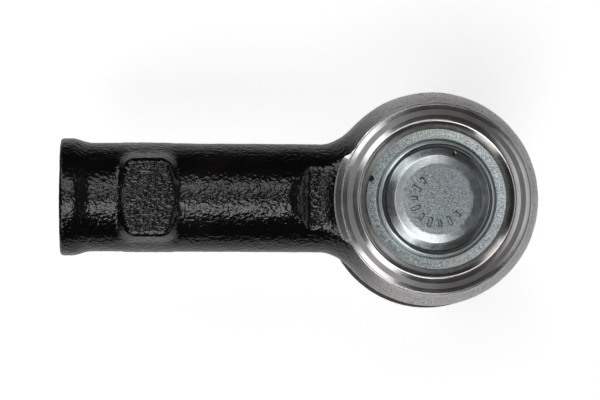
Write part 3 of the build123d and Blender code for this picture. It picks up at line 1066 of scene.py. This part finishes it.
def machined_steel():
    """Turned steel: concentric tool marks, faint brown stains, a rougher groove band whose colour is
    darkened as painted shade, and a rusty inner slope.
    """
    made = Surface("machined_steel", {"Metallic": 1.0})
    marks = made.lines(made.radius(), 6500)
    clean = made.mix(made.noise(160, 3), grey(0.62, (1, 0.98, 1.02)), grey(0.52, (1, 0.97, 0.99)))
    stain = made.span(made.noise(70, 4), 0.54, 0.74, 0, 0.6)
    stained = made.mix(stain, clean, grey(0.38, (1.08, 0.88, 0.8)))
    inner = made.beyond((LIP_TOP[0], LIP_TOP[0] - 0.5))
    rust = made.mix(made.noise(900, 4), grey(0.40, (1.02, 1, 0.98)), grey(0.2, (1.1, 0.96, 0.86)))
    # The groove band is rougher, and its colour is darkened to 0.3 as painted shade in the groove.
    start_r, end_r = FACE_BAND[0][0], FACE_BAND[1][0]
    start = made.beyond((start_r, start_r + 0.2))
    rough_shaded_band = made.maths("MULTIPLY", start, made.beyond((end_r, end_r - 0.2)))
    shaded_band_colour = made.mix(made.maths("MULTIPLY", rough_shaded_band, 0.8), stained, grey(0.3, (1, 0.97, 0.95)))
    made.feed("Base Color", made.mix(inner, shaded_band_colour, rust))
    smooth = made.span(made.noise(240, 3), 0.3, 0.7, 0.15, 0.24)
    made.feed("Roughness", made.maths("ADD", smooth, made.maths("MULTIPLY", rough_shaded_band, 0.3)))
    made.feed("Normal", made.bump(marks, 0.000006))
    return made.material


def bore_steel():
    """Freshly tapped steel, oiled, darker towards the bottom of the hole."""
    made = Surface("bore_steel", {"Metallic": 1.0})
    deep = made.span(made.along("X"), SHANK_END_X * MM, BORE_END_X * MM)
    colour = made.mix(made.noise(300, 3), grey(0.5), grey(0.36, (1.05, 0.98, 0.9)))
    made.feed("Base Color", made.mix(deep, colour, grey(0.16, (1.1, 1, 0.9))))
    made.feed("Roughness", made.span(made.noise(900, 3), 0.3, 0.7, 0.24, 0.42))
    made.feed("Normal", made.bump(made.noise(5200, 2), 0.00001))
    return made.material


def zinc_plate():
    """Pressed sheet with matt bluish zinc, smoother where the press stretched it, with a painted highlight
    on the step and painted shade at the nick and the pit.
    """
    made = Surface("zinc_plate", {"Metallic": 1.0})
    flange = made.beyond(FLANGE_FADE)
    matt = made.maths("ADD", made.beyond(DISC_FADE, 1, 0), flange)
    slope = made.maths("SUBTRACT", made.beyond(DOME_FADE), flange)
    grain = made.noise(4600, 2)
    sand = made.maths("MULTIPLY", made.span(grain, 0.7, 0.3), matt)
    bright = made.mix(flange, grey(0.52, (0.92, 1, 1.02)), grey(0.72, (0.92, 1, 1)))
    cloud = made.mix(sand, bright, grey(0.16, (0.84, 1.0, 1.06)))
    film = made.span(made.noise(110, 3), 0.5, 0.72, 0, 0.4)
    tinted = made.mix(film, cloud, grey(0.42, (1.02, 1.02, 0.86)))
    toned = made.mix(made.maths("MULTIPLY", slope, 0.6), tinted, grey(0.25, (0.84, 1, 1.04)))
    # Bright ring on the step, colour 0.9 and rougher: a painted highlight.
    step = made.maths("MULTIPLY", made.beyond(STEP_HIGHLIGHT_FADES[0]), made.beyond(STEP_HIGHLIGHT_FADES[1], 1, 0))
    clean = made.mix(step, toned, grey(0.9, (0.93, 1, 1)))
    # Near-black spots at the nick and in the pit: painted shade.
    painted_shade_spots = made.maths("MAXIMUM", made.spot(CAP_NOTCH, CAP_NOTCH_R), made.spot(CAP_PIT, CAP_PIT_R))
    made.feed("Base Color", made.mix(painted_shade_spots, clean, grey(0.03, (1.2, 1, 0.85))))
    rough = made.span(made.noise(900, 3), 0.3, 0.7, 0.0, 0.08)
    blurred = made.maths("MAXIMUM", matt, step)
    made.feed("Roughness", made.maths("ADD", rough, made.span(blurred, 0, 1, 0.18, 0.34)))
    deep = made.maths("MULTIPLY", grain, made.span(matt, 0, 1, 0.05, 1))
    made.feed("Normal", made.bump(deep, 0.00006))
    return made.material


def ground_steel():
    """Stud: polished ball, ground taper and rolled thread, lightly oiled."""
    made = Surface("ground_steel", {"Metallic": 1.0})
    height = made.along("Z")
    marks = made.lines(height, 7000)
    colour = made.mix(made.noise(180, 4), grey(0.56), grey(0.44, (1.02, 0.98, 0.92)))
    thread = made.span(height, (TAPER_END[1] - 1.5) * MM, (TAPER_END[1] - 0.5) * MM, 1, 0)
    made.feed("Base Color", made.mix(made.maths("MULTIPLY", thread, 0.7), colour, grey(0.3, (1.05, 1, 0.9))))
    made.feed("Roughness", made.span(marks, 0.3, 0.7, 0.18, 0.34))
    made.feed("Normal", made.bump(made.noise(3000, 3), 0.000008, made.bump(marks, 0.000012)))
    return made.material


def zinc_hardware():
    """Bright zinc of the nut, with a faint yellow and blue passivated film."""
    made = Surface("zinc_hardware", {"Metallic": 1.0})
    hue = made.span(made.noise(230, 3), 0.35, 0.65)
    film = made.mix(hue, grey(0.6, (1.0, 0.97, 0.84)), grey(0.56, (0.9, 0.97, 1.05)))
    spots = made.span(made.noise(1500, 4), 0.6, 0.72, 0, 0.5)
    made.feed("Base Color", made.mix(spots, film, grey(0.3, (1.0, 0.95, 0.85))))
    made.feed("Roughness", made.span(made.noise(700, 4), 0.3, 0.7, 0.2, 0.42))
    made.feed("Normal", made.bump(made.noise(2400, 3), 0.00003))
    return made.material


def pin_steel():
    """Zinc-plated soft steel of the split pin, with drawing lines and bend marks."""
    made = Surface("pin_steel", {"Metallic": 1.0})
    lines = made.noise(2200, 3, (3, 0.4, 0.4))
    made.feed("Base Color", made.mix(made.noise(350, 4), grey(0.58), grey(0.4, (1.02, 0.98, 0.9))))
    made.feed("Roughness", made.span(lines, 0.3, 0.7, 0.24, 0.45))
    made.feed("Normal", made.bump(lines, 0.00002))
    return made.material


def ring_steel():
    """Dark phosphated spring wire."""
    made = Surface("ring_steel", {"Metallic": 1.0})
    made.feed("Base Color", made.mix(made.noise(900, 4), grey(0.34), grey(0.16, (1.05, 1, 0.95))))
    made.feed("Roughness", made.span(made.noise(1500, 3), 0.3, 0.7, 0.28, 0.5))
    made.feed("Normal", made.bump(made.noise(5000, 2), 0.00001))
    return made.material


def rubber():
    """Moulded black rubber with a brownish bloom and a fine matt skin."""
    made = Surface("boot_rubber", {"IOR": 1.5})
    bloom = made.span(made.noise(95, 4), 0.42, 0.72, 0, 0.8)
    made.feed("Base Color", made.mix(bloom, grey(0.07, (1.1, 1.0, 0.92)), grey(0.11, (1.15, 1.0, 0.88))))
    made.feed("Roughness", made.span(made.noise(600, 4), 0.3, 0.7, 0.38, 0.6))
    made.feed("Normal", made.bump(made.noise(3600, 3), 0.00002))
    return made.material


def spring_steel():
    """Disc spring: blued steel with rolling lines."""
    made = Surface("spring_steel_blue", {"Metallic": 1.0})
    blued = made.mix(made.noise(260, 4), grey(0.3, (0.85, 0.95, 1.1)), grey(0.22, (1.1, 1, 0.9)))
    made.feed("Base Color", blued)
    made.feed("Roughness", made.span(made.noise(1800, 3, (1, 6, 1)), 0.3, 0.7, 0.25, 0.42))
    made.feed("Normal", made.bump(made.noise(2500, 2, (1, 6, 1)), 0.00001))
    return made.material


def acetal():
    """Ivory bearing plastic, greased."""
    made = Surface("bearing_acetal", {"IOR": 1.48, "Subsurface Weight": 0.15})
    ivory = made.mix(made.noise(180, 4), grey(0.72, (1, 0.97, 0.88)), grey(0.6, (1, 0.93, 0.78)))
    made.feed("Base Color", ivory)
    made.feed("Roughness", made.span(made.noise(500, 3), 0.3, 0.7, 0.28, 0.5))
    made.feed("Normal", made.bump(made.noise(1400, 2), 0.00001))
    return made.material


# ---------------------------------------------------------------- stage


# The stage is in metres.
FLOOR_HALF = 2.0
FLOOR_GLOW_Y = 0.08
CAMERA_HEIGHT = 0.520
CAMERA_X = -0.0555
CAMERA_LENS = 157.9
CAMERA_ROLL = 0.35
AIM = Vector((-0.0261, -0.00034, 0))
PANEL_HEIGHT = 0.85
TALL_BOX = (0.36, 0.72)


def camera():
    """Long lens above the shank, looking almost straight down at the whole object."""
    data = bpy.data.cameras.new("camera")
    data.lens = CAMERA_LENS
    data.clip_start = 0.01
    data.clip_end = 10
    piece = bpy.data.objects.new("camera", data)
    viewpoint = Vector((CAMERA_X, AIM.y, CAMERA_HEIGHT))
    forward = (AIM - viewpoint).normalized()
    right = forward.cross(Vector((0, 1, 0))).normalized()
    up = right.cross(forward)
    turn = Matrix((right, up, -forward)).transposed().to_4x4()
    roll = Matrix.Rotation(math.radians(CAMERA_ROLL), 4, "Z")
    piece.matrix_world = Matrix.Translation(viewpoint) @ turn @ roll
    bpy.context.scene.collection.objects.link(piece)
    bpy.context.scene.camera = piece


def area_light(name, size, radiance, location):
    """Rectangular light that faces down until it is turned."""
    data = bpy.data.lights.new(name, "AREA")
    data.shape = "RECTANGLE"
    data.size, data.size_y = size
    data.energy = radiance * math.pi * size[0] * size[1]
    piece = bpy.data.objects.new(name, data)
    piece.location = location
    bpy.context.scene.collection.objects.link(piece)
    return piece


def panel(name, low, high, radiance):
    """Flat overhead light between two (x, y) corners."""
    middle = ((low[0] + high[0]) / 2, (low[1] + high[1]) / 2, PANEL_HEIGHT)
    area_light(name, (high[0] - low[0], high[1] - low[1]), radiance, middle)


def softbox(name, azimuth, polar, size, radiance):
    """Rectangular light a metre from the eye, placed by its direction and turned to face it."""
    around, down = math.radians(azimuth), math.radians(polar)
    flat = math.sin(down)
    toward = Vector((flat * math.cos(around), flat * math.sin(around), math.cos(down)))
    piece = area_light(name, size, radiance, toward)
    piece.rotation_euler = toward.to_track_quat("Z", "Y").to_euler()


def floor():
    """Pale table top that glows, a painted pool of light bright under the object; reflections see it fade
    out further away, the camera sees it evenly pale.
    """
    low = CAD_BOX[0]
    half = FLOOR_HALF / MM
    corners = [(-half, -half), (half, -half), (half, half), (-half, half)]
    points = [(x, y, low.z / MM) for x, y in corners]
    piece = new_piece("floor", points, [(0, 1, 2, 3)])
    matt = {"Roughness": 0.9, "Specular IOR Level": 0.0, "Emission Strength": 0.55}
    made = Surface("pale_floor", matt)
    shift = (-low.x / 2, FLOOR_GLOW_Y, -low.z)
    centre = made.node("Mapping", {"Vector": made.place, "Location": shift})
    away = made.node("VectorMath", {0: centre}, output=1, operation="LENGTH")
    # Painted pool of light: the glow fades with distance from the object, except for camera rays.
    fade = made.span(away, 0.10, 0.30, 0.45, 0.05)
    seen = made.node("LightPath", {})
    pale = made.maths("MAXIMUM", fade, made.maths("MULTIPLY", seen, 0.98))
    colour = made.node("CombineColor", {"Red": pale, "Green": pale, "Blue": pale})
    made.feed("Base Color", colour)
    made.feed("Emission Color", colour)
    piece.data.materials.append(made.material)


def world():
    """Dim studio, a little brighter overhead, with a pale backdrop where the camera sees it."""
    made = bpy.data.worlds.new("studio")
    made.use_nodes = True
    nodes, links = made.node_tree.nodes, made.node_tree.links
    room = nodes["Background"]
    room.inputs["Color"].default_value = (1, 1, 1, 1)
    where = nodes.new("ShaderNodeTexCoord")
    height = nodes.new("ShaderNodeSeparateXYZ")
    links.new(where.outputs["Generated"], height.inputs["Vector"])
    glow = nodes.new("ShaderNodeMapRange")
    for socket, value in {"From Min": 0.5, "From Max": 1.0, "To Min": 0.03, "To Max": 0.12}.items():
        glow.inputs[socket].default_value = value
    links.new(height.outputs["Z"], glow.inputs["Value"])
    links.new(glow.outputs["Result"], room.inputs["Strength"])
    backdrop = nodes.new("ShaderNodeBackground")
    backdrop.inputs["Color"].default_value = (0.8, 0.8, 0.8, 1)
    path = nodes.new("ShaderNodeLightPath")
    choose = nodes.new("ShaderNodeMixShader")
    links.new(path.outputs["Is Camera Ray"], choose.inputs["Fac"])
    links.new(room.outputs[0], choose.inputs[1])
    links.new(backdrop.outputs[0], choose.inputs[2])
    links.new(choose.outputs[0], nodes["World Output"].inputs["Surface"])
    bpy.context.scene.world = made
    bpy.context.scene.view_settings.view_transform = "Standard"


camera()
world()
floor()
panel("panel_back", (-0.32, 0.19), (0.12, 0.56), 2.1)
panel("panel_front", (-0.32, -0.56), (0.12, -0.17), 3.5)
softbox("softbox_back_left", 135, 54, TALL_BOX, 2.1)
softbox("softbox_front_left", 234, 54, TALL_BOX, 2.1)
softbox("softbox_left", 180, 16, (0.3, 0.25), 0.9)
softbox("softbox_right", 0, 60, (1.6, 0.38), 0.8)


# ---------------------------------------------------------------- pieces on their bodies


def place(piece, body, node, slot):
    """Fixes a piece to its body, in place of a CAD node."""
    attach(piece, body)
    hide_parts(node)


def dress(node, made):
    """Gives a carried-over CAD node its material."""
    piece = frame["nodes"][node]
    piece.data.materials.clear()
    piece.data.materials.append(made)


place(housing(), "socket", "housing", "painted_forging")
place(cover_cap(), "socket", "cover_cap", "zinc_cap")
place(wire_ring("housing_ring_wire", *HOUSING_RING), "socket", "boot_housing_ring", "ring_wire")
place(wire_ring("neck_ring_wire", *NECK_RING), "boot_foot", "boot_neck_ring", "ring_wire")
place(lip_insert(), "boot_foot", "boot_lip_insert", "ring_wire")
place(ball_stud(), "stud", "ball_stud", "stud_steel")
place(castle_nut(), "stud", "castle_nut", "zinc_hardware")
place(cotter_pin(), "stud", "cotter_pin", "zinc_hardware")

upper = boot_upper()
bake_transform(upper)
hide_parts("dust_boot")
lower = boot_lower()
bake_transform(lower)
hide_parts("dust_boot")

dress("preload_spring", spring_steel())
plastic = acetal()
dress("upper_seat", plastic)
dress("lower_seat", plastic)
